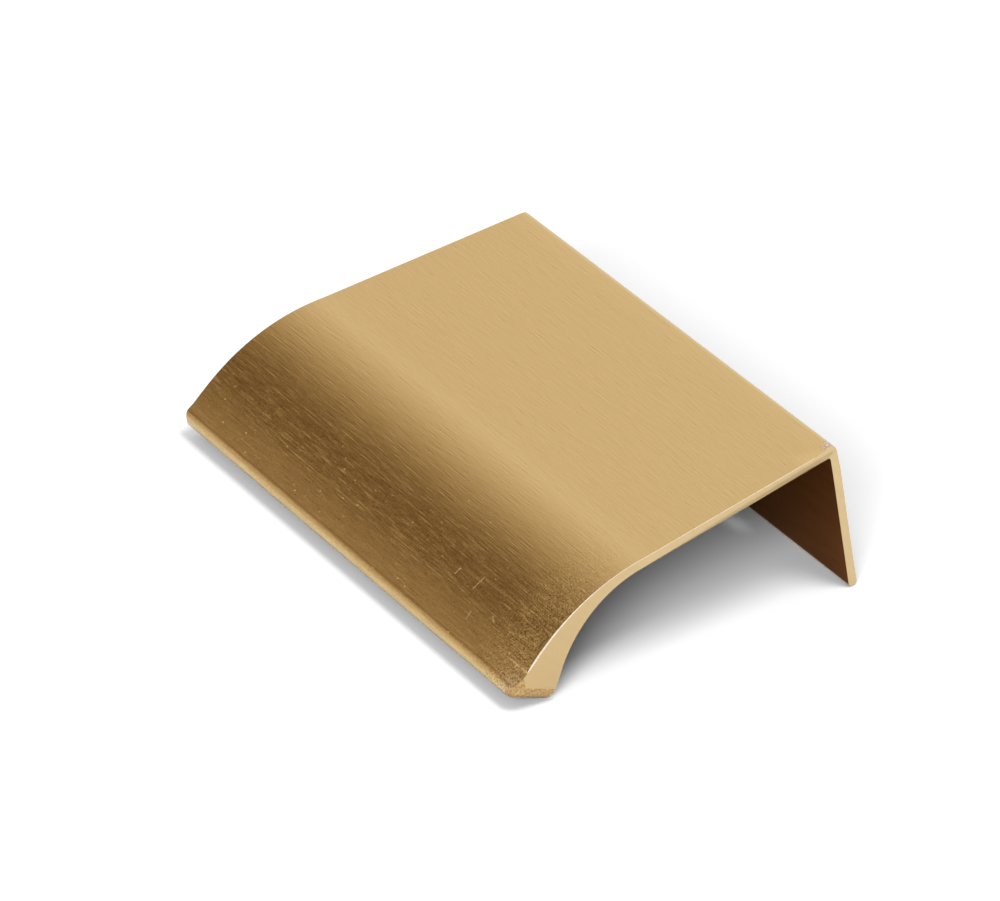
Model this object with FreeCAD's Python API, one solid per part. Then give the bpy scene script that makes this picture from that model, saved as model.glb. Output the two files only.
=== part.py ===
import FreeCAD, Part
import math
import os

os.makedirs("parts", exist_ok=True)

# Finger pull cut from one length of extruded profile.
# The section is drawn with u forward from the back face of the flange
# and v down from the top of the plate, in millimetres.

# Length and cut ends
back_length = 50.0
end_skew = 4.5

# Walls
plate_t = 0.9
flange_t = 0.9
flange_h = 15.4
back_corner_r = 0.7
inner_corner_r = 0.3

# Top line, from the back to the lip
flat_length = 20.0
crown_angle = -1.6
crown_r = 70.0
shoulder_r = 19.6
shoulder_angle = 36.9
lip_r = 45.0
lip_angle = 4.5

# Foot of the lip
foot_front_r = 1.1
foot_angle = 108.0
foot_face = 2.4
foot_rear_r = 1.0
throat_angle = 59.0
throat_r = 11.0
foot_end_r = 2.1
foot_corner_r = 1.7

# Screw holes in the flange
hole_spacing = 25.0
hole_drop = 8.0
hole_d = 4.0
sink_d = 5.4


def section_point(u, v):
    return FreeCAD.Vector(0.0, -u, -v)


class Outline:
    """A closed outline walked edge by edge, each tangent to the last."""

    def __init__(self, u, v, heading):
        self.u = u
        self.v = v
        self.heading = heading
        self.edges = []

    def at(self, distance, turned=0.0):
        angle = math.radians(self.heading + turned)
        return self.u + distance * math.cos(angle), self.v + distance * math.sin(angle)

    def straight(self, length):
        end = self.at(length)
        start = section_point(self.u, self.v)
        self.edges.append(Part.makeLine(start, section_point(*end)))
        self.u, self.v = end

    def bend(self, radius, turn):
        side = math.copysign(90.0, turn)
        centre = self.at(radius, side)
        points = [section_point(self.u, self.v)]
        for share in (0.5, 1.0):
            angle = math.radians(self.heading - side + share * turn)
            end = centre[0] + radius * math.cos(angle), centre[1] + radius * math.sin(angle)
            points.append(section_point(*end))
        self.edges.append(Part.Arc(*points).toShape())
        self.u, self.v = end
        self.heading += turn
        return centre


def draw_section():
    """Give the section, its front and foot walls and the two round edges it rests on."""
    path = Outline(back_corner_r, 0.0, 0.0)
    path.straight(flat_length - back_corner_r)
    path.bend(crown_r, crown_angle)
    path.bend(shoulder_r, shoulder_angle)
    path.bend(lip_r, lip_angle)
    front_centre = path.bend(foot_front_r, foot_angle)
    front_wall = (front_centre[0] + foot_front_r, 0.0), 90.0
    foot_wall = (path.u, path.v), path.heading
    path.straight(foot_face)
    foot_centre = path.bend(foot_rear_r, 180.0 + throat_angle - path.heading)
    climb = path.v - plate_t - throat_r * (1.0 - math.cos(math.radians(throat_angle)))
    path.straight(climb / math.sin(math.radians(throat_angle)))
    path.bend(throat_r, -throat_angle)
    path.straight(path.u - flange_t - inner_corner_r)
    path.bend(inner_corner_r, -90.0)
    path.straight(flange_h - flange_t / 2 - path.v)
    tip_centre = path.bend(flange_t / 2, 180.0)
    path.straight(path.v - back_corner_r)
    path.bend(back_corner_r, 90.0)
    return Part.Face(Part.Wire(path.edges)), front_wall, foot_wall, foot_centre, tip_centre


def sawn_room(point, heading, corner_r):
    """Give the room between the saw cuts on one side of a wall, rounded where they meet it."""
    size = 2 * back_length
    turn = FreeCAD.Rotation(FreeCAD.Vector(1, 0, 0), heading - 180.0)
    room = Part.makeBox(2 * size, 2 * size, size, FreeCAD.Vector(-size, -size, 0))
    room.Placement = FreeCAD.Placement(section_point(*point), turn)
    for side in (1, -1):
        waste = Part.makeBox(2 * size, 6 * size, 6 * size, FreeCAD.Vector(0, -3 * size, -3 * size))
        waste.rotate(FreeCAD.Vector(), FreeCAD.Vector(0, 0, 1), end_skew)
        waste.translate(FreeCAD.Vector(back_length / 2, 0, 0))
        if side < 0:
            waste = waste.mirror(FreeCAD.Vector(), FreeCAD.Vector(1, 0, 0))
        room = room.cut(waste)
    out = turn.multVec(FreeCAD.Vector(0, 0, -1))
    wall = max(room.Faces, key=lambda face: face.normalAt(0, 0).dot(out))
    ends = [edge for edge in wall.Edges if abs(edge.CenterOfMass.x) > back_length / 4]
    return room.makeFillet(corner_r, ends)


def drill_flange(bar):
    """Drill the screw holes, sunk from the back for flat heads."""
    forward = FreeCAD.Vector(0, -1, 0)
    sink_depth = (sink_d - hole_d) / 2
    for x in (-hole_spacing / 2, hole_spacing / 2):
        start = FreeCAD.Vector(x, 0, -hole_drop)
        hole = Part.makeCylinder(hole_d / 2, 2 * flange_t, start, forward)
        sink = Part.makeCone(sink_d / 2, hole_d / 2, sink_depth, start, forward)
        bar = bar.cut(hole.fuse(sink))
    return bar


def rest_angle(foot_centre, tip_centre):
    """Give the lean at which foot and flange edge touch one floor."""
    across = foot_centre[0] - tip_centre[0]
    down = foot_centre[1] - tip_centre[1]
    lift = (flange_t / 2 - foot_rear_r) / math.hypot(across, down)
    return math.asin(lift) - math.atan2(down, across)


section, front_wall, foot_wall, foot_centre, tip_centre = draw_section()
stock_length = 2 * back_length
bar = section.extrude(FreeCAD.Vector(stock_length, 0, 0))
bar.translate(FreeCAD.Vector(-stock_length / 2, 0, 0))
bar = bar.common(sawn_room(*foot_wall, foot_end_r))
bar = bar.common(sawn_room(*front_wall, foot_corner_r))
pull = drill_flange(bar)

# Lay it down as it rests, on the foot of the lip and the flange edge
lean = rest_angle(foot_centre, tip_centre)
pull.rotate(FreeCAD.Vector(), FreeCAD.Vector(1, 0, 0), math.degrees(lean))
box = pull.optimalBoundingBox(False, False)
pull.translate(FreeCAD.Vector(0, -box.Center.y, -box.ZMin))

pull.exportStep("parts/pull_profile.step")
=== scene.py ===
import math

import bmesh
import bpy
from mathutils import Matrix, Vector


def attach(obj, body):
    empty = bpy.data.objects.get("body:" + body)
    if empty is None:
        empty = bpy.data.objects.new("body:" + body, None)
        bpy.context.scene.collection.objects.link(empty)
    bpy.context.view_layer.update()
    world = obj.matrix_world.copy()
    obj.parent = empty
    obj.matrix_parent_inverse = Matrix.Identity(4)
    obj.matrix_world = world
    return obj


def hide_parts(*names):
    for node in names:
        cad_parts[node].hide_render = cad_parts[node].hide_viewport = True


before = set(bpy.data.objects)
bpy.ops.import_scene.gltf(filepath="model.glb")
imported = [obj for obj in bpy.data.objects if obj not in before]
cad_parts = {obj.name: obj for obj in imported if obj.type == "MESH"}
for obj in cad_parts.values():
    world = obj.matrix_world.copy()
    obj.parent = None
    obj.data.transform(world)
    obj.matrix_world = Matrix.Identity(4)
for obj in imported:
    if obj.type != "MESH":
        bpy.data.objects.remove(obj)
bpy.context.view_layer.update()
scene = bpy.context.scene
scene.view_settings.view_transform = "Standard"
scene.cycles.caustics_reflective = False


# The camera stands to the right of the near end, a long lens from above.
camera = bpy.data.objects.new("camera", bpy.data.cameras.new("camera"))
camera.location = (0.472248, -0.312145, 0.338407)
camera.rotation_euler = (math.radians(59.6327), math.radians(-1.1211), math.radians(57.4266))
camera.data.sensor_width = 36.0
camera.data.lens = 263.86
camera.data.clip_start = 0.01
scene.collection.objects.link(camera)
scene.camera = camera


# The table is a wide sheet of matt white card under the pull.
# It is white to the eye away from the pull and takes the pull's shadow.
def add_node(tree, kind, settings=None, **inputs):
    """Add a node. An input goes by its name or by _NUMBER, as a value or a link."""
    made = tree.nodes.new(kind)
    for name, value in (settings or {}).items():
        setattr(made, name, value)
    for name, value in inputs.items():
        socket = made.inputs[int(name[1:])] if name[1:].isdigit() else made.inputs[name.replace("_", " ")]
        if isinstance(value, bpy.types.NodeSocket):
            tree.links.new(value, socket)
        else:
            socket.default_value = value
    return made


def figure(tree, operation, *values):
    """Give the result of one sum."""
    slots = {"_%d" % i: value for i, value in enumerate(values)}
    return add_node(tree, "ShaderNodeMath", {"operation": operation}, **slots).outputs[0]


def ramped(tree, value, start, end, low=0.0, high=1.0, smooth=False):
    """Give low up to the start, high from the end and the run between."""
    settings = {"interpolation_type": "SMOOTHSTEP" if smooth else "LINEAR"}
    limits = {"From_Min": start, "From_Max": end, "To_Min": low, "To_Max": high}
    return add_node(tree, "ShaderNodeMapRange", settings, Value=value, **limits).outputs[0]


def mix_colours(tree, share, first, second, blend="MIX"):
    """Give the first colour with the second over it, by the share."""
    first, second = (
        value if isinstance(value, bpy.types.NodeSocket) else (*value, 1.0) for value in (first, second)
    )
    settings = {"data_type": "RGBA", "blend_type": blend}
    return add_node(tree, "ShaderNodeMix", settings, _0=share, _6=first, _7=second).outputs[2]


card_half = 2.5
card_mesh = bpy.data.meshes.new("table_card")
card_corners = [(x * card_half, y * card_half, 0.0) for x, y in ((-1, -1), (1, -1), (1, 1), (-1, 1))]
card_mesh.from_pydata(card_corners, [], [(0, 1, 2, 3)])
card = bpy.data.objects.new("table_card", card_mesh)
scene.collection.objects.link(card)

# to the eye it is whiter than paper, so that it clears to white where no
# shadow lies; the metal mirrors it white, with a painted tan shade before the lip
card_finish = bpy.data.materials.new("matt_white_card")
card_finish.use_nodes = True
card_tree = card_finish.node_tree
card_tree.nodes.remove(card_tree.nodes["Principled BSDF"])
card_seen = add_node(card_tree, "ShaderNodeLightPath").outputs
card_mirrored = figure(card_tree, "MAXIMUM", card_seen["Is Glossy Ray"], card_seen["Is Transmission Ray"])
card_spot = add_node(card_tree, "ShaderNodeTexCoord").outputs["Object"]
card_y = add_node(card_tree, "ShaderNodeSeparateXYZ", Vector=card_spot).outputs["Y"]
card_front_painted_shade = ramped(card_tree, card_y, -0.0195, -0.045)
card_mirror_painted_shade = mix_colours(card_tree, card_front_painted_shade, (0.95, 0.95, 0.95), (0.45, 0.37, 0.29))
card_paper = mix_colours(card_tree, card_mirrored, (0.7, 0.7, 0.7), card_mirror_painted_shade)
card_white = mix_colours(card_tree, card_seen["Is Camera Ray"], card_paper, (1.27, 1.27, 1.27))
card_matt = add_node(card_tree, "ShaderNodeBsdfDiffuse", Color=card_white)
card_tree.links.new(card_matt.outputs[0], card_tree.nodes["Material Output"].inputs["Surface"])
card_mesh.materials.append(card_finish)


# The room is one even soft light. In the metal's mirror it is white, with a
# dark brown card far off to the front left that gives the lip its dark band.
def vector_figure(tree, operation, first, second):
    """Give the number that two vectors make, such as their distance."""
    node = add_node(tree, "ShaderNodeVectorMath", {"operation": operation}, _0=first, _1=second)
    return node.outputs["Value"]


def tone_ramp(tree, share, *stops):
    """Give the colour at a share between stops, each a place and its colour."""
    ramp = add_node(tree, "ShaderNodeValToRGB", Fac=share)
    while len(ramp.color_ramp.elements) < len(stops):
        ramp.color_ramp.elements.new(0.5)
    for element, (place, colour) in zip(ramp.color_ramp.elements, stops):
        element.position = place
        element.color = (*colour, 1.0)
    return ramp.outputs[0]


room = bpy.data.worlds.new("studio_room")
room.use_nodes = True
room.cycles.sampling_method = "NONE"
scene.world = room
room_tree = room.node_tree
room_light = room_tree.nodes["Background"].inputs
dark_card_way = Vector((-0.72, -0.43, 0.54)).normalized()
direction = add_node(room_tree, "ShaderNodeTexCoord").outputs["Generated"]
nearness = vector_figure(room_tree, "DOT_PRODUCT", direction, dark_card_way)
off_card = ramped(room_tree, figure(room_tree, "ARCCOSINE", nearness), 0.0, math.radians(45.0))
mirrored = tone_ramp(
    room_tree,
    off_card,
    (0.00, (0.10, 0.045, 0.010)),
    (0.20, (0.14, 0.075, 0.025)),
    (0.35, (0.27, 0.185, 0.09)),
    (0.50, (0.47, 0.38, 0.26)),
    (0.65, (0.68, 0.58, 0.47)),
    (0.80, (0.86, 0.78, 0.72)),
    (1.00, (1.00, 1.00, 1.00)),
)
room_seen = add_node(room_tree, "ShaderNodeLightPath").outputs
in_metal = figure(room_tree, "MAXIMUM", room_seen["Is Glossy Ray"], room_seen["Is Transmission Ray"])
soft_light = mix_colours(room_tree, in_metal, (0.37, 0.37, 0.37), mirrored)
room_white = mix_colours(room_tree, room_seen["Is Camera Ray"], soft_light, (1.0, 1.0, 1.0))
room_tree.links.new(room_white, room_light["Color"])
room_light["Strength"].default_value = 1.0

# two round lamps draw the shadow on the card, and the metal doesn't mirror them
lamp_distance = 1.2
for name, energy, way in (("low_lamp", 8.2, (0.6, -0.65, 0.46)), ("high_lamp", 5.4, (0.3, 0.1, 0.95))):
    lamp = bpy.data.objects.new(name, bpy.data.lights.new(name, "AREA"))
    lamp.data.shape = "DISK"
    lamp.data.size = 0.5
    lamp.data.energy = energy
    lamp.location = Vector(way).normalized() * lamp_distance
    lamp.rotation_euler = (-lamp.location).to_track_quat("-Z", "Y").to_euler()
    lamp.visible_glossy = False
    scene.collection.objects.link(lamp)


# The pull is one length of extruded profile, sawn at both ends and brushed
# along its length: a plate, a flange down its back edge and a lip down its
# front. The section is walked edge by edge, u forward and v down, in mm.
lean = math.radians(10.9139)
seat = (16.1466, 15.2148)
plate_t = 0.9
flange_t = 0.9
flange_h = 15.4
flat_length = 20.0
back_corner_r = 0.7
inner_corner_r = 0.3
foot_face = 2.4
foot_rear_r = 1.0
throat_r = 11.0
throat_turn = 59.0
arc_step = 0.16

# crown, shoulder, lip and the front of the foot: each radius with its turn
top_bends = ((70.0, -1.6), (19.6, 36.9), (45.0, 4.5), (1.1, 108.0))


def walk_straight(trail, length):
    """Go on straight from the trail's end."""
    u, v, heading = trail[-1]
    way_u = math.cos(math.radians(heading))
    way_v = math.sin(math.radians(heading))
    count = max(1, round(length / 2.0))
    for share in range(1, count + 1):
        run = length * share / count
        trail.append((u + run * way_u, v + run * way_v, heading))


def walk_bend(trail, radius, turn):
    """Go on along an arc, tangent to the trail's end."""
    u, v, heading = trail[-1]
    side = math.copysign(90.0, turn)
    centre_u = u + radius * math.cos(math.radians(heading + side))
    centre_v = v + radius * math.sin(math.radians(heading + side))
    count = max(4, round(radius * abs(math.radians(turn)) / arc_step), round(abs(turn) / 9.0))
    for share in range(1, count + 1):
        turned = turn * share / count
        bearing = math.radians(heading - side + turned)
        next_u = centre_u + radius * math.cos(bearing)
        next_v = centre_v + radius * math.sin(bearing)
        trail.append((next_u, next_v, heading + turned))


trail = [(back_corner_r, 0.0, 0.0)]
walk_straight(trail, flat_length - back_corner_r)
for radius, turn in top_bends:
    walk_bend(trail, radius, turn)
foot_start = trail[-1]
walk_straight(trail, foot_face)
walk_bend(trail, foot_rear_r, 180.0 + throat_turn - trail[-1][2])
inner_start = len(trail) - 1
throat_rise = throat_r * (1.0 - math.cos(math.radians(throat_turn)))
walk_straight(trail, (trail[-1][1] - plate_t - throat_rise) / math.sin(math.radians(throat_turn)))
walk_bend(trail, throat_r, -throat_turn)
walk_straight(trail, trail[-1][0] - flange_t - inner_corner_r)
walk_bend(trail, inner_corner_r, -90.0)
walk_straight(trail, flange_h - flange_t / 2 - trail[-1][1])
inner_end = len(trail) - 1
walk_bend(trail, flange_t / 2, 180.0)
walk_straight(trail, trail[-1][1] - back_corner_r)
walk_bend(trail, back_corner_r, 90.0)


def in_room(u, v):
    """Give the y and z in metres of a section point, as the pull lies."""
    y = -u * math.cos(lean) + v * math.sin(lean) + seat[0]
    z = -u * math.sin(lean) - v * math.cos(lean) + seat[1]
    return y / 1000, z / 1000


outline = [in_room(u, v) for u, v, heading in trail[:-1]]
outline_mesh = bpy.data.meshes.new("pull_outline")
links = [(i, (i + 1) % len(outline)) for i in range(len(outline))]
outline_mesh.from_pydata([(y, z, 0.0) for y, z in outline], links, [])
inner_run = outline_mesh.attributes.new("inner", "FLOAT", "EDGE")
inner_run.data.foreach_set("value", [float(inner_start <= i < inner_end) for i in range(len(outline))])
pull = bpy.data.objects.new("extruded_pull", outline_mesh)
scene.collection.objects.link(pull)

# The saw cuts, the rounded ends of the foot and the screw holes are sizes of
# the tree that makes the bar. It draws the bar out along X from the outline,
# keeps what is inside the sawn length and drills the flange.
back_length = 0.050
end_skew = math.tan(math.radians(4.5))
bar_sizes = {
    "Back length": back_length,
    "Skew": end_skew,
    "Foot end radius": 0.0021,
    "Foot corner radius": 0.0017,
    "Far corner share": 0.3,
    "Hole spacing": 0.025,
    "Hole radius": 0.002,
    "Sink radius": 0.0027,
}
bar_tree = bpy.data.node_groups.new("extruded_bar", "GeometryNodeTree")
bar_tree.interface.new_socket("Outline", in_out="INPUT", socket_type="NodeSocketGeometry")
for name, value in bar_sizes.items():
    socket = bar_tree.interface.new_socket(name, in_out="INPUT", socket_type="NodeSocketFloat")
    socket.default_value = value
for name in ("Brushed finish", "Inner painted shade", "Ground finish", "Sawn finish"):
    bar_tree.interface.new_socket(name, in_out="INPUT", socket_type="NodeSocketMaterial")
bar_tree.interface.new_socket("Bar", in_out="OUTPUT", socket_type="NodeSocketGeometry")
given = add_node(bar_tree, "NodeGroupInput").outputs
here = add_node(bar_tree, "GeometryNodeInputPosition").outputs[0]
here = add_node(bar_tree, "ShaderNodeSeparateXYZ", Vector=here).outputs


def spot(x, y, z):
    """Give the point at three figures."""
    return add_node(bar_tree, "ShaderNodeCombineXYZ", X=x, Y=y, Z=z).outputs[0]


def drawn_solid(loop, height):
    """Give the closed solid that a flat loop makes when it is drawn up."""
    under = add_node(bar_tree, "GeometryNodeFillCurve", {"mode": "NGONS"}, Curve=loop).outputs[0]
    drawn = add_node(
        bar_tree,
        "GeometryNodeExtrudeMesh",
        {"mode": "FACES"},
        Mesh=under,
        Offset=(0.0, 0.0, height),
        Offset_Scale=1.0,
        Individual=False,
    )
    turned_under = add_node(bar_tree, "GeometryNodeFlipFaces", Mesh=under)
    both = add_node(bar_tree, "GeometryNodeJoinGeometry")
    bar_tree.links.new(drawn.outputs["Mesh"], both.inputs[0])
    bar_tree.links.new(turned_under.outputs[0], both.inputs[0])
    closed = add_node(bar_tree, "GeometryNodeMergeByDistance", Geometry=both.outputs[0], Distance=1e-6)
    return closed.outputs[0]


stock_length = 0.070
loop = add_node(bar_tree, "GeometryNodeMeshToCurve", Mesh=given["Outline"]).outputs[0]
stock = drawn_solid(loop, stock_length)
along = figure(bar_tree, "SUBTRACT", here["Z"], stock_length / 2)
laid = spot(along, here["X"], here["Y"])
bar = add_node(bar_tree, "GeometryNodeSetPosition", Geometry=stock, Position=laid).outputs[0]

# the room between the saw cuts, with the foot's end edges rounded, and the
# same room behind the foot's front, with the front corners rounded in plan
room_height = 0.12
room_depth = 0.14


def sawn_room(radius, start_u, bearing, laid_y, laid_z):
    """Give a long block with two rounded corners, skewed at both ends."""
    block_width = add_node(
        bar_tree,
        "GeometryNodeCurvePrimitiveQuadrilateral",
        {"mode": "RECTANGLE"},
        Width=given["Back length"],
        Height=room_height,
    )
    at_far_end = figure(bar_tree, "LESS_THAN", here["X"], 0.0)
    lost_round = figure(bar_tree, "SUBTRACT", given["Far corner share"], 1.0)
    round_share = figure(bar_tree, "MULTIPLY_ADD", at_far_end, lost_round, 1.0)
    rounded = add_node(
        bar_tree,
        "GeometryNodeFilletCurve",
        {"mode": "POLY"},
        Curve=block_width.outputs[0],
        Count=14,
        Radius=figure(bar_tree, "MULTIPLY", radius, round_share),
    )
    block = drawn_solid(rounded.outputs[0], room_depth)
    rise = figure(bar_tree, "ADD", here["Y"], room_height / 2)
    reach = figure(bar_tree, "SUBTRACT", room_depth / 2, here["Z"])
    level_run = figure(bar_tree, "MULTIPLY", reach, math.cos(bearing))
    upright_run = figure(bar_tree, "MULTIPLY", rise, math.sin(bearing))
    run = figure(bar_tree, "SUBTRACT", level_run, upright_run)
    skewed = figure(bar_tree, "MULTIPLY", figure(bar_tree, "SUBTRACT", run, start_u), given["Skew"])
    skewed = figure(bar_tree, "MULTIPLY", figure(bar_tree, "SIGN", here["X"]), skewed)
    block_spot = spot(figure(bar_tree, "SUBTRACT", here["X"], skewed), reach, rise)
    block_set = add_node(bar_tree, "GeometryNodeSetPosition", Geometry=block, Position=block_spot)
    return add_node(
        bar_tree,
        "GeometryNodeTransform",
        Geometry=block_set.outputs[0],
        Translation=(0.0, laid_y, laid_z),
        Rotation=(bearing + lean, 0.0, 0.0),
    ).outputs[0]


front_reach = max(u for u, v, heading in trail)
foot_u, foot_v, foot_heading = foot_start
foot_lean = math.radians(foot_heading - 180.0)
foot_room = sawn_room(given["Foot end radius"], foot_u / 1000, foot_lean, *in_room(foot_u, foot_v))
front_room = sawn_room(
    given["Foot corner radius"], front_reach / 1000, math.radians(-90.0), *in_room(front_reach, 0.0)
)
sawn = add_node(bar_tree, "GeometryNodeMeshBoolean", {"operation": "INTERSECT", "solver": "EXACT"})
for part in (bar, foot_room, front_room):
    bar_tree.links.new(part, sawn.inputs["Mesh 2"])

# the drill with its countersink, in both places at once
hole_drop = 8.0
drill = add_node(bar_tree, "GeometryNodeMeshCylinder", Vertices=48, Radius=given["Hole radius"], Depth=0.006)
sink_depth = figure(bar_tree, "SUBTRACT", given["Sink radius"], given["Hole radius"])
sink = add_node(
    bar_tree,
    "GeometryNodeMeshCone",
    Vertices=48,
    Radius_Top=given["Hole radius"],
    Radius_Bottom=figure(bar_tree, "ADD", given["Sink radius"], sink_depth),
    Depth=figure(bar_tree, "MULTIPLY", sink_depth, 2.0),
)
sink_set = add_node(
    bar_tree,
    "GeometryNodeTransform",
    Geometry=sink.outputs[0],
    Translation=spot(0.0, 0.0, figure(bar_tree, "MULTIPLY", sink_depth, -1.0)),
)
tool = add_node(bar_tree, "GeometryNodeMeshBoolean", {"operation": "UNION", "solver": "EXACT"})
bar_tree.links.new(drill.outputs[0], tool.inputs["Mesh 2"])
bar_tree.links.new(sink_set.outputs[0], tool.inputs["Mesh 2"])
first_x = figure(bar_tree, "MULTIPLY", given["Hole spacing"], -0.5)
hole_places = add_node(
    bar_tree,
    "GeometryNodeMeshLine",
    {"mode": "OFFSET"},
    Count=2,
    Start_Location=spot(first_x, *in_room(0.0, hole_drop)),
    Offset=spot(given["Hole spacing"], 0.0, 0.0),
)
drills = add_node(
    bar_tree,
    "GeometryNodeInstanceOnPoints",
    Points=hole_places.outputs[0],
    Instance=tool.outputs[0],
    Rotation=(math.radians(90.0) + lean, 0.0, 0.0),
)
drills_real = add_node(bar_tree, "GeometryNodeRealizeInstances", Geometry=drills.outputs[0])
drilled = add_node(bar_tree, "GeometryNodeMeshBoolean", {"operation": "DIFFERENCE", "solver": "EXACT"})
bar_tree.links.new(sawn.outputs[0], drilled.inputs["Mesh 1"])
bar_tree.links.new(drills_real.outputs[0], drilled.inputs["Mesh 2"])

# the finish of each face: brushed outside, painted shade within, ground and sawn ends
finished = add_node(bar_tree, "GeometryNodeRealizeInstances", Geometry=drilled.outputs[0]).outputs[0]
inner_mark = add_node(bar_tree, "GeometryNodeInputNamedAttribute", {"data_type": "FLOAT"}, Name="inner")
inner_edges = add_node(
    bar_tree,
    "GeometryNodeSeparateGeometry",
    {"domain": "EDGE"},
    Geometry=given["Outline"],
    Selection=inner_mark.outputs[0],
)
inner_line = add_node(
    bar_tree,
    "GeometryNodeSetPosition",
    Geometry=inner_edges.outputs[0],
    Position=spot(0.0, here["X"], here["Y"]),
)
off_inner = add_node(
    bar_tree,
    "GeometryNodeProximity",
    {"target_element": "EDGES"},
    Geometry=inner_line.outputs[0],
    Sample_Position=spot(0.0, here["Y"], here["Z"]),
).outputs["Distance"]
facing = add_node(bar_tree, "GeometryNodeInputNormal").outputs[0]
facing = add_node(bar_tree, "ShaderNodeSeparateXYZ", Vector=facing).outputs
endward = figure(bar_tree, "ABSOLUTE", facing["X"])
for name, chosen in (
    ("Brushed finish", None),
    ("Inner painted shade", figure(bar_tree, "LESS_THAN", off_inner, 0.00003)),
    ("Ground finish", figure(bar_tree, "GREATER_THAN", endward, 0.1)),
    ("Sawn finish", figure(bar_tree, "GREATER_THAN", endward, 0.985)),
):
    painted = add_node(bar_tree, "GeometryNodeSetMaterial", Geometry=finished, Material=given[name])
    if chosen is not None:
        bar_tree.links.new(chosen, painted.inputs["Selection"])
    finished = painted.outputs[0]
leaving = add_node(bar_tree, "NodeGroupOutput")
bar_tree.links.new(finished, leaving.inputs[0])


# The finishes are metal. What more than one of them shows is a shader group,
# and the first says where a point lies on the bar: how far forward of the
# flange's back, and how far in from the near cut.
def shader_group(name, sizes, results):
    """Start a shader group and give it with its inputs."""
    group = bpy.data.node_groups.new(name, "ShaderNodeTree")
    for label, value in sizes.items():
        socket = group.interface.new_socket(label, in_out="INPUT", socket_type="NodeSocketFloat")
        socket.default_value = value
    for label in results:
        group.interface.new_socket(label, in_out="OUTPUT", socket_type="NodeSocketFloat")
    return group, add_node(group, "NodeGroupInput").outputs


place_on_bar, place_in = shader_group(
    "place_on_bar", {"Back length": back_length, "Skew": end_skew}, ("Forward", "From the near end")
)
front_way = Vector((0.0, -math.cos(lean), -math.sin(lean)))
front_start = -(seat[0] * front_way.y + seat[1] * front_way.z) / 1000
bar_point = add_node(place_on_bar, "ShaderNodeTexCoord").outputs["Object"]
bar_x = add_node(place_on_bar, "ShaderNodeSeparateXYZ", Vector=bar_point).outputs["X"]
front_run = vector_figure(place_on_bar, "DOT_PRODUCT", bar_point, front_way)
front_run = figure(place_on_bar, "ADD", front_run, front_start)
half_back = figure(place_on_bar, "MULTIPLY", place_in["Back length"], 0.5)
cut_x = figure(place_on_bar, "MULTIPLY_ADD", front_run, place_in["Skew"], half_back)
from_near_cut = figure(place_on_bar, "SUBTRACT", cut_x, bar_x)
add_node(place_on_bar, "NodeGroupOutput", Forward=front_run, From_the_near_end=from_near_cut)

# the straight lines that the brushing leaves along the bar:
# lanes laid side by side round the section, each with its own run of lines
lines, lines_in = shader_group(
    "brushed_lines", {"Length": 0.0026, "Width": 0.00021, "Grain size": 0.00016}, ("Tone", "Lines", "Grain")
)
line_spot = add_node(lines, "ShaderNodeTexCoord").outputs["Object"]
line_x = add_node(lines, "ShaderNodeSeparateXYZ", Vector=line_spot).outputs["X"]
across_way = (0.0, -math.cos(math.radians(50.0)), -math.sin(math.radians(50.0)))
across = vector_figure(lines, "DOT_PRODUCT", line_spot, across_way)


def lane_lines(share, shift):
    """Give the run of lines in lanes of one share of the full width."""
    lanes = figure(lines, "DIVIDE", across, figure(lines, "MULTIPLY", lines_in["Width"], share))
    lane = figure(lines, "FLOOR", lanes)
    run = figure(lines, "DIVIDE", line_x, figure(lines, "MULTIPLY", lines_in["Length"], share))
    run = figure(lines, "MULTIPLY_ADD", lane, 0.37, figure(lines, "ADD", run, shift))
    lane_start = figure(lines, "MULTIPLY", lane, 7.31)
    lane_spot = add_node(lines, "ShaderNodeCombineXYZ", X=run, Y=lane_start).outputs[0]
    drawn = add_node(
        lines, "ShaderNodeTexNoise", {"noise_dimensions": "2D"}, Vector=lane_spot, Scale=1.0, Detail=1.0
    )
    value = ramped(lines, drawn.outputs[0], 0.28, 0.72, -1.0, 1.0)
    strength = figure(lines, "MULTIPLY_ADD", figure(lines, "ABSOLUTE", value), 0.6, 0.4)
    off_middle = figure(lines, "SUBTRACT", figure(lines, "FRACT", lanes), 0.5)
    fullness = figure(lines, "MULTIPLY_ADD", figure(lines, "MULTIPLY", off_middle, off_middle), -4.0, 1.0)
    return figure(lines, "MULTIPLY", figure(lines, "MULTIPLY", value, strength), fullness)


drawn_lines = figure(lines, "MULTIPLY_ADD", lane_lines(0.62, 11.9), 0.7, lane_lines(1.0, 0.0))
fine_grain = add_node(
    lines,
    "ShaderNodeTexNoise",
    Vector=line_spot,
    Scale=figure(lines, "DIVIDE", 1.0, lines_in["Grain size"]),
    Detail=2.0,
    Distortion=0.6,
).outputs[0]
fine_grain = figure(lines, "SUBTRACT", fine_grain, 0.5)
grain_tone = figure(lines, "MULTIPLY_ADD", fine_grain, 0.45, 0.5)
line_tone = figure(lines, "MULTIPLY_ADD", drawn_lines, 0.24, grain_tone)
add_node(lines, "NodeGroupOutput", Tone=line_tone, Lines=drawn_lines, Grain=fine_grain)

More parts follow.
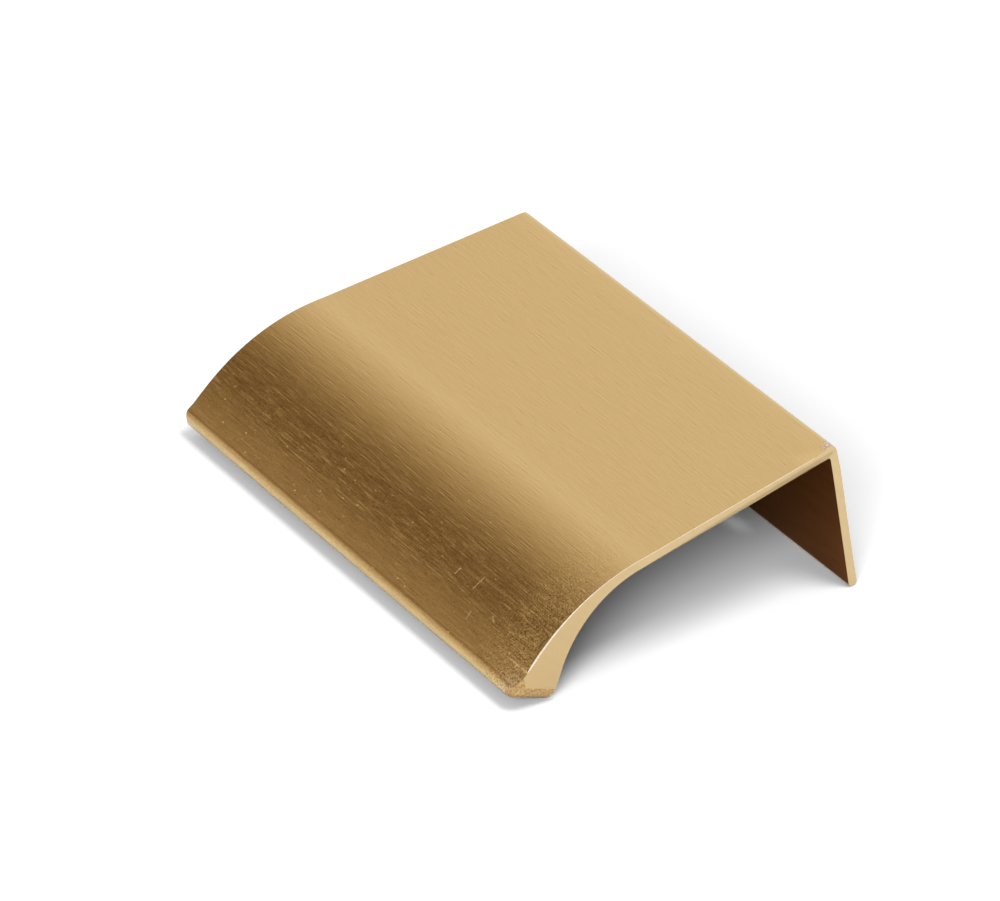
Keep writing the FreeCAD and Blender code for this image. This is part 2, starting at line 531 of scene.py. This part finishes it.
# small pits or bright specks scattered in the finish
specks, specks_in = shader_group("specks", {"Spacing": 0.0008, "Radius": 0.08, "Share": 0.3}, ("Depth",))
speck_cells = add_node(
    specks,
    "ShaderNodeTexVoronoi",
    Vector=add_node(specks, "ShaderNodeTexCoord").outputs["Object"],
    Scale=figure(specks, "DIVIDE", 1.0, specks_in["Spacing"]),
)
speck_run = figure(specks, "DIVIDE", speck_cells.outputs["Distance"], specks_in["Radius"])
speck_cone = figure(specks, "MAXIMUM", figure(specks, "SUBTRACT", 1.0, speck_run), 0.0)
speck_draw = add_node(specks, "ShaderNodeSeparateXYZ", Vector=speck_cells.outputs["Color"]).outputs["X"]
speck_kept = figure(specks, "LESS_THAN", speck_draw, specks_in["Share"])
add_node(specks, "NodeGroupOutput", Depth=figure(specks, "MULTIPLY", speck_cone, speck_kept))

# one short scratch across the lip
scratch, scratch_in = shader_group(
    "scratch",
    {"Along": 0.016, "Across": 0.005, "Turn": 1.0, "Half length": 0.0008, "Half width": 0.00007},
    ("Mask",),
)
scratch_spot = add_node(scratch, "ShaderNodeTexCoord").outputs["Object"]
scratch_x = add_node(scratch, "ShaderNodeSeparateXYZ", Vector=scratch_spot).outputs["X"]
scratch_x = figure(scratch, "SUBTRACT", scratch_x, scratch_in["Along"])
scratch_y = vector_figure(scratch, "DOT_PRODUCT", scratch_spot, across_way)
scratch_y = figure(scratch, "SUBTRACT", scratch_y, scratch_in["Across"])
scratch_cos = figure(scratch, "COSINE", scratch_in["Turn"])
scratch_sin = figure(scratch, "SINE", scratch_in["Turn"])
run_rest = figure(scratch, "MULTIPLY", scratch_y, scratch_sin)
scratch_run = figure(scratch, "MULTIPLY_ADD", scratch_x, scratch_cos, run_rest)
scratch_run = figure(scratch, "ABSOLUTE", scratch_run)
off_rest = figure(scratch, "MULTIPLY", scratch_x, scratch_sin)
scratch_off = figure(scratch, "SUBTRACT", figure(scratch, "MULTIPLY", scratch_y, scratch_cos), off_rest)
scratch_off = figure(scratch, "DIVIDE", figure(scratch, "ABSOLUTE", scratch_off), scratch_in["Half width"])
scratch_fade = figure(scratch, "MAXIMUM", figure(scratch, "SUBTRACT", 1.0, scratch_off), 0.0)
in_scratch = figure(scratch, "LESS_THAN", scratch_run, scratch_in["Half length"])
add_node(scratch, "NodeGroupOutput", Mask=figure(scratch, "MULTIPLY", in_scratch, scratch_fade))


def start_metal(name, roughness):
    """Start a metal finish and give it with its tree and its shader's inputs."""
    finish = bpy.data.materials.new(name)
    finish.use_nodes = True
    shader = finish.node_tree.nodes["Principled BSDF"].inputs
    shader["Metallic"].default_value = 1.0
    shader["Roughness"].default_value = roughness
    return finish, finish.node_tree, shader


def with_group(tree, group, **sizes):
    """Place a shader group in a tree and give its outputs."""
    return add_node(tree, "ShaderNodeGroup", {"node_tree": group}, **sizes).outputs


def bumped(tree, height, strength, distance):
    """Give the normal that a height makes."""
    return add_node(tree, "ShaderNodeBump", Strength=strength, Distance=distance, Height=height).outputs[0]


def added(value, amount, base):
    """Give the base with an amount of a value of the brushed finish added."""
    return figure(brushed_tree, "MULTIPLY_ADD", value, amount, base)


# the satin brushing of the outer faces: its lines are faint on the plate and
# painted stronger down the lip as sheen, with grain rubbed in at the near end
brushed, brushed_tree, brushed_shader = start_metal("brushed_brass_tone", 0.3)
strokes = with_group(brushed_tree, lines, Length=0.0032, Width=0.00014, Grain_size=0.00017)
grain = strokes["Grain"]
brushed_place = with_group(brushed_tree, place_on_bar)
forward = brushed_place["Forward"]
on_lip = ramped(brushed_tree, forward, 0.0262, 0.0330, smooth=True)
low_on_lip = ramped(brushed_tree, forward, 0.0280, 0.0335, smooth=True)
by_foot = ramped(brushed_tree, forward, 0.0332, 0.0352, smooth=True)
by_near_end = ramped(brushed_tree, brushed_place["From the near end"], 0.0085, 0.0020, smooth=True)
rubbed = figure(brushed_tree, "MULTIPLY", ramped(brushed_tree, forward, 0.022, 0.030), by_near_end)
pits = with_group(brushed_tree, specks, Spacing=0.0010, Radius=0.09, Share=0.14)["Depth"]
# the glints are bright specks on the lip, a painted highlight of light on fine scratches
painted_glints = with_group(brushed_tree, specks, Spacing=0.0007, Radius=0.16, Share=0.35)["Depth"]
painted_glints = figure(brushed_tree, "MULTIPLY", painted_glints, on_lip)

# each scratch's place along the bar and across the lip, its turn and half length
scratches = (
    (0.0163, 0.0050, 98.0, 0.00075),
    (0.0133, 0.0054, 95.0, 0.00035),
    (0.0177, 0.0077, 88.0, 0.00045),
    (0.0205, 0.0066, 35.0, 0.00035),
)
scratched = None
for scratch_along, scratch_across, turn, half_length in scratches:
    mark = with_group(
        brushed_tree,
        scratch,
        Along=scratch_along,
        Across=scratch_across,
        Turn=math.radians(turn),
        Half_length=half_length,
        Half_width=0.00008,
    )["Mask"]
    scratched = mark if scratched is None else figure(brushed_tree, "MAXIMUM", scratched, mark)

# painted sheen: the lines and grain get more contrast down the lip, as light on the fine scratches
line_sheen_gain = added(by_foot, -0.95, added(on_lip, 1.30, 0.18))
tone = added(figure(brushed_tree, "SUBTRACT", strokes["Tone"], 0.5), line_sheen_gain, 0.5)
tone = added(grain, figure(brushed_tree, "MULTIPLY", on_lip, 0.5), tone)
tone = added(by_foot, 0.14, tone)
tone = added(grain, figure(brushed_tree, "MULTIPLY", rubbed, 1.85), tone)
tone = added(painted_glints, 0.9, tone)
colour = tone_ramp(brushed_tree, tone, (0.0, (0.400, 0.260, 0.095)), (1.0, (1.000, 0.736, 0.354)))
colour = mix_colours(brushed_tree, scratched, colour, (0.93, 0.74, 0.47))

# a painted reddish line of reflected shade where the front edge of the foot begins
off_painted_line = figure(brushed_tree, "ABSOLUTE", figure(brushed_tree, "SUBTRACT", forward, 0.03655))
painted_reflection_line = ramped(brushed_tree, off_painted_line, 0.00012, 0.0, 0.0, 0.45)
colour = mix_colours(brushed_tree, painted_reflection_line, colour, (0.42, 0.21, 0.09))

# the bruise on the near back corner
brushed_spot = add_node(brushed_tree, "ShaderNodeTexCoord").outputs["Object"]
grain_share = figure(brushed_tree, "ADD", grain, 0.5)
off_bruise = vector_figure(brushed_tree, "DISTANCE", brushed_spot, (0.0247, *in_room(0.4, 0.1)))
bruised = ramped(brushed_tree, added(grain, 0.0016, off_bruise), 0.00105, 0.00080)
bruise = tone_ramp(brushed_tree, grain_share, (0.46, (0.58, 0.39, 0.24)), (0.60, (0.82, 0.74, 0.66)))
colour = mix_colours(brushed_tree, bruised, colour, bruise)

# the rubbed tip of the lip at the near end, dull and grainy
off_tip = vector_figure(brushed_tree, "DISTANCE", brushed_spot, (0.0275, *in_room(36.7, 6.8)))
dulled = ramped(brushed_tree, off_tip, 0.0030, 0.0012, 0.0, 0.8)
dull_tone = tone_ramp(brushed_tree, grain_share, (0.38, (0.42, 0.26, 0.10)), (0.60, (1.00, 0.80, 0.50)))
colour = mix_colours(brushed_tree, dulled, colour, dull_tone)

brushed_rough = ramped(brushed_tree, strokes["Tone"], 0.0, 1.0, 0.26, 0.34)
brushed_rough = added(dulled, 0.22, added(scratched, 0.3, brushed_rough))
line_depth = added(by_foot, -0.55, added(low_on_lip, 0.42, 0.36))
height = figure(brushed_tree, "MULTIPLY", strokes["Lines"], line_depth)
height = added(pits, -3.0, height)
height = added(grain, added(rubbed, 2.6, 0.9), height)
height = added(painted_glints, 2.2, height)
around = add_node(brushed_tree, "ShaderNodeTangent", {"direction_type": "RADIAL", "axis": "X"})
brushed_tree.links.new(colour, brushed_shader["Base Color"])
brushed_tree.links.new(brushed_rough, brushed_shader["Roughness"])
brushed_tree.links.new(bumped(brushed_tree, height, 1.0, 0.00001), brushed_shader["Normal"])
brushed_tree.links.new(around.outputs[0], brushed_shader["Tangent"])
brushed_shader["Anisotropic"].default_value = 0.5

# the inner faces, drawn and not brushed, their deep brown a painted shade
inside, inside_tree, inside_shader = start_metal("inner_painted_shade_tone", 0.6)
inside_lines = with_group(inside_tree, lines, Length=0.009, Width=0.0006, Grain_size=0.0003)
inner_shade_colour = tone_ramp(
    inside_tree, inside_lines["Tone"], (0.3, (0.205, 0.064, 0.004)), (0.7, (0.232, 0.074, 0.005))
)
inside_tree.links.new(inner_shade_colour, inside_shader["Base Color"])
inside_tree.links.new(bumped(inside_tree, inside_lines["Lines"], 0.3, 0.00001), inside_shader["Normal"])

# the rounded ends of the foot, ground by hand and left speckled
ground, ground_tree, ground_shader = start_metal("ground_brass_tone", 0.45)
ground_grain = with_group(ground_tree, lines, Length=0.001, Width=0.0005, Grain_size=0.0002)["Grain"]
ground_specks = with_group(ground_tree, specks, Spacing=0.0004, Radius=0.35, Share=0.4)["Depth"]
ground_share = figure(ground_tree, "ADD", ground_grain, 0.5)
ground_colour = tone_ramp(
    ground_tree, ground_share, (0.35, (0.50, 0.300, 0.120)), (0.62, (0.80, 0.530, 0.235))
)
ground_colour = mix_colours(ground_tree, ground_specks, ground_colour, (0.30, 0.17, 0.07))
ground_tree.links.new(ground_colour, ground_shader["Base Color"])
ground_tree.links.new(bumped(ground_tree, ground_grain, 0.6, 0.00003), ground_shader["Normal"])

# the smooth light cut of the saw, a little deeper down the lip
sawn_finish, sawn_tree, sawn_shader = start_metal("sawn_brass_tone", 0.45)
sawn_tone = with_group(sawn_tree, lines, Length=0.002, Width=0.0009, Grain_size=0.0005)["Tone"]
sawn_colour = tone_ramp(sawn_tree, sawn_tone, (0.3, (0.775, 0.585, 0.318)), (0.7, (0.805, 0.615, 0.340)))
sawn_lip = ramped(sawn_tree, with_group(sawn_tree, place_on_bar)["Forward"], 0.022, 0.034)
sawn_colour = mix_colours(sawn_tree, sawn_lip, sawn_colour, (0.965, 0.92, 0.85), "MULTIPLY")
sawn_tree.links.new(sawn_colour, sawn_shader["Base Color"])

# the line along the broken rims, nearly white: worn metal and painted highlight
worn_rim_highlight, worn_highlight_tree, worn_highlight_shader = start_metal("worn_edge_painted_highlight", 0.42)
worn_highlight_grain = with_group(worn_highlight_tree, lines, Length=0.002, Width=0.0009, Grain_size=0.0003)["Grain"]
worn_highlight_share = figure(worn_highlight_tree, "ADD", worn_highlight_grain, 0.5)
worn_highlight_colour = tone_ramp(worn_highlight_tree, worn_highlight_share, (0.38, (0.90, 0.76, 0.55)), (0.55, (1.00, 0.92, 0.78)))
worn_highlight_tree.links.new(worn_highlight_colour, worn_highlight_shader["Base Color"])

# the bar is made by its tree and becomes a plain mesh
bar_finishes = {
    "Brushed finish": brushed,
    "Inner painted shade": inside,
    "Ground finish": ground,
    "Sawn finish": sawn_finish,
}
maker = pull.modifiers.new("extruded_bar", "NODES")
maker.node_group = bar_tree
for item in bar_tree.interface.items_tree:
    if item.in_out == "INPUT" and item.name in bar_finishes:
        maker[item.identifier] = bar_finishes[item.name]
made = bpy.data.meshes.new_from_object(pull.evaluated_get(bpy.context.evaluated_depsgraph_get()))
pull.modifiers.remove(maker)
made.materials.pop(index=0)
made.materials.append(worn_rim_highlight)
pull.data = made
made.shade_smooth()
shaping = bmesh.new()
shaping.from_mesh(made)
bmesh.ops.remove_doubles(shaping, verts=shaping.verts, dist=0.00003)


def cut_through(place, way, **choices):
    """Cut the whole bar by a plane and give what the cut made."""
    every_part = shaping.verts[:] + shaping.edges[:] + shaping.faces[:]
    return bmesh.ops.bisect_plane(
        shaping, geom=every_part, plane_co=place, plane_no=way, dist=1e-7, **choices
    )


# the near back corner is knocked back a little, which the ring of edges near
# each end keeps away from the long faces
for ring_x in (-0.0232, 0.0232):
    cut_through((ring_x, 0.0, 0.0), (1.0, 0.0, 0.0))
knock_depth = 0.00045
knock_reach = 0.0013
knocked = Vector((back_length / 2, *in_room(0.25, 0.25)))
for vert in shaping.verts:
    vert.co.x -= knock_depth * max(0.0, 1.0 - (vert.co - knocked).length / knock_reach)

# three light strokes of the file round off the near front corner of the foot
file_tilt = math.radians(133.0)
down_front = Vector((0.0, -math.sin(file_tilt), math.cos(file_tilt)))
ground_index = made.materials.find(ground.name)
for turn, depth in ((18.5, 0.00020), (9.2, 0.00005), (27.8, 0.00005)):
    stroke = down_front * math.cos(math.radians(turn))
    stroke.x = math.sin(math.radians(turn))
    tip = max(shaping.verts, key=lambda vert: vert.co.dot(stroke)).co
    filed = cut_through(tip - stroke * depth, stroke, clear_outer=True)
    rim = [part for part in filed["geom_cut"] if isinstance(part, bmesh.types.BMEdge)]
    for face in bmesh.ops.edgeloop_fill(shaping, edges=rim, mat_nr=ground_index)["faces"]:
        face.smooth = True
shaping.normal_update()

# The sawn rims are broken all round the outside, finely, and worn more down
# the lip. A ring of points goes in just inside each cut, and the rim is drawn
# in behind it, both by the width of the break at that place.
brushed_index = made.materials.find(brushed.name)
fine_break = 0.00003
lip_wear = 0.000084
ring_depth = 0.0003


def eased(value, start, end):
    """Give 0 at the start, 1 at the end and a straight run between."""
    return min(1.0, max(0.0, (value - start) / (end - start)))


def ring_pairs(side):
    """Cut the ring inside one end and pair its points with the rim's."""
    end_way = Vector((side, 0.0, 0.0)) - front_way * end_skew
    level = back_length / 2 + end_skew * front_start
    parts = set()
    for face in shaping.faces:
        drawn_face = face.material_index == brushed_index and abs(face.normal.x) < 0.1
        if drawn_face and face.calc_center_median().x * side > 0.020:
            parts.update((face,), face.edges, face.verts)
    ring_spot = end_way * ((level - ring_depth) / end_way.length_squared)
    cut = bmesh.ops.bisect_plane(
        shaping, geom=list(parts), plane_co=ring_spot, plane_no=end_way, dist=1e-7
    )
    pairs = []
    for ring_vert in cut["geom_cut"]:
        if isinstance(ring_vert, bmesh.types.BMVert):
            for edge in ring_vert.link_edges:
                rim_vert = edge.other_vert(ring_vert)
                on_cut = abs(rim_vert.co.dot(end_way) - level) < 0.00001
                off_foot = rim_vert.co.z > 0.0026 or rim_vert.co.y > 0.0
                if on_cut and off_foot:
                    pairs.append((ring_vert, rim_vert))
    return pairs


def break_rim(side):
    """Break the rim at one end and give the points of the break."""
    pairs = ring_pairs(side)
    lip_tip = Vector((0.0274 * side, *in_room(36.9, 6.6)))
    nearest = min((rim_vert.co - lip_tip).length for ring_vert, rim_vert in pairs)
    moves = []
    for ring_vert, rim_vert in pairs:
        off_tip = (rim_vert.co - lip_tip).length
        width = fine_break + lip_wear * eased(off_tip, 0.0130, 0.0050)
        width *= eased(off_tip, nearest, nearest + 0.0006) * eased(rim_vert.co.z, 0.0010, 0.0025)
        outward = Vector()
        for face in rim_vert.link_faces:
            if abs(face.normal.x) < 0.1:
                outward += face.normal
        moves.append((ring_vert, rim_vert, width, outward.normalized()))
    broken = set()
    for ring_vert, rim_vert, width, outward in moves:
        ring_vert.co.x = rim_vert.co.x - side * width
        drawn_in = outward * -width
        drawn_in.x = side * end_skew * drawn_in.dot(front_way)
        rim_vert.co += drawn_in
        if width > 0.00001:
            broken.update((ring_vert, rim_vert))
    return broken


broken = break_rim(-1) | break_rim(1)
# the broken faces get the nearly white finish: worn metal and painted highlight
for face in shaping.faces:
    if all(vert in broken for vert in face.verts):
        face.material_index = made.materials.find(worn_rim_highlight.name)
bmesh.ops.remove_doubles(shaping, verts=shaping.verts, dist=0.000003)
bmesh.ops.dissolve_degenerate(shaping, dist=0.000001, edges=shaping.edges)
shaping.normal_update()
for edge in shaping.edges:
    edge.smooth = edge.calc_face_angle() < math.radians(32.0)
shaping.to_mesh(made)
shaping.free()
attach(pull, "root")
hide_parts("pull_profile")
